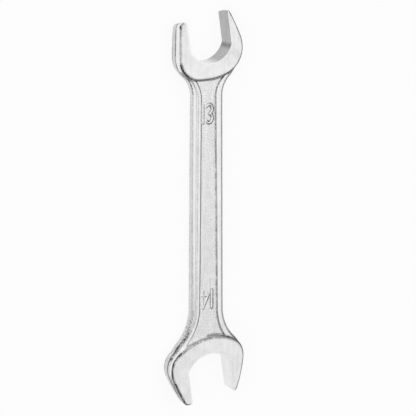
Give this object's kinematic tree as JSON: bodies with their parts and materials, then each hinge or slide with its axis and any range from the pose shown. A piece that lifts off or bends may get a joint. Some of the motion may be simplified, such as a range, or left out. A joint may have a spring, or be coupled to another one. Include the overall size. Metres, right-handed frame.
{
  "type": "open end wrench",
  "caption": "Flat forged open end wrench with a slanted U-shaped jaw at each end, a sunk panel along the shank and raised size numerals.",
  "frame": {"origin": "under the middle of the wrench's overall box, on the plane of the underside's ground head faces", "axes": "+Y along the wrench towards the 13 mm head, +X to the right of it seen from the numbered front, +Z out of the numbered front"},
  "size_m": [0.0254, 0.1208, 0.0057],
  "materials": {
    "head_13": "satin plated steel, ground face",
    "shank": "satin plated steel over forging skin",
    "head_14": "satin plated steel, ground face"
  },
  "bodies": {
    "root": {"head_13": "head_13", "shank": "shank", "head_14": "head_14"}
  },
  "joints": []
}
